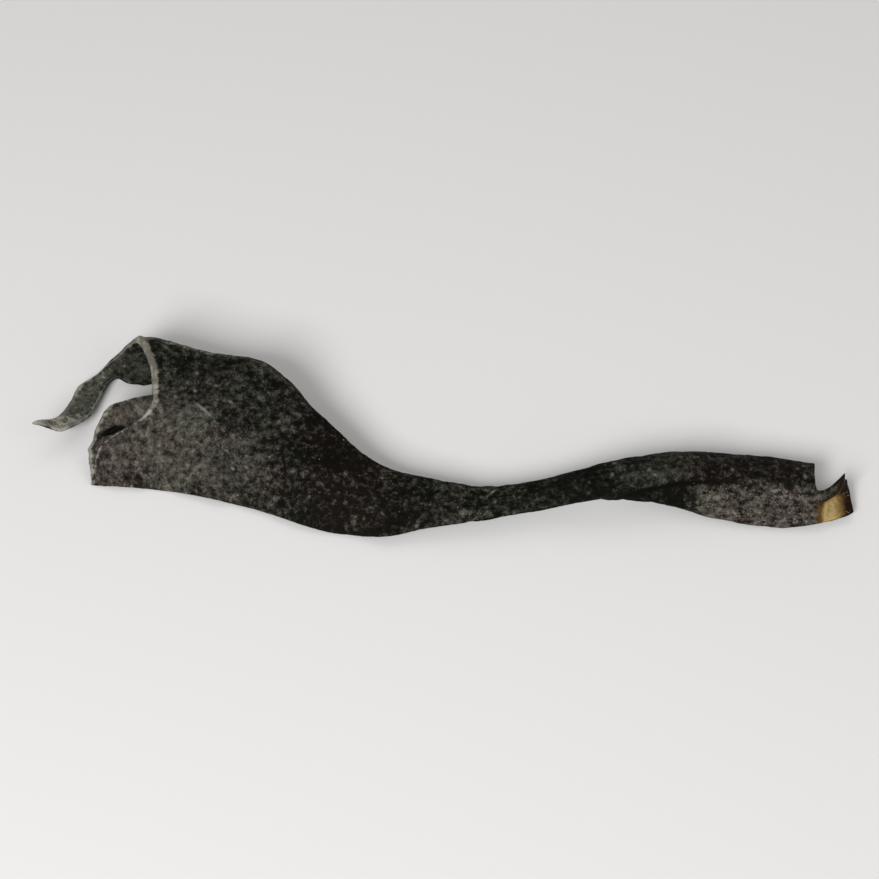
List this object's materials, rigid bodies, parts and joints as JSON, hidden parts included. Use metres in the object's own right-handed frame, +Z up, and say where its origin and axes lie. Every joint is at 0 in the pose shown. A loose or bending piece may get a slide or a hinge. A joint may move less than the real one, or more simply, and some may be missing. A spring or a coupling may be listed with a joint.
{
  "type": "dried kelp stem",
  "caption": "Single dried kelp stem lying down: a folded, trimmed blade narrows into a firm stalk and ends in a creased, cut foot.",
  "frame": {"origin": "on the plane that the stem rests on, under the middle of its box", "axes": "+X along the stem from the cut blade to the foot, +Y across it to the rolled far side, +Z up from the table"},
  "size_m": [0.1542, 0.0428, 0.0124],
  "materials": {
    "kelp_skin": "matt charcoal to greenish brown leathery skin with a fine grey bloom",
    "cut_pith": "dry tan pith at the knife cuts, browner at its rim",
    "sea_salt": "dull white grains of dried sea salt"
  },
  "bodies": {
    "root": {"kelp_stem": "kelp_skin"}
  },
  "joints": []
}
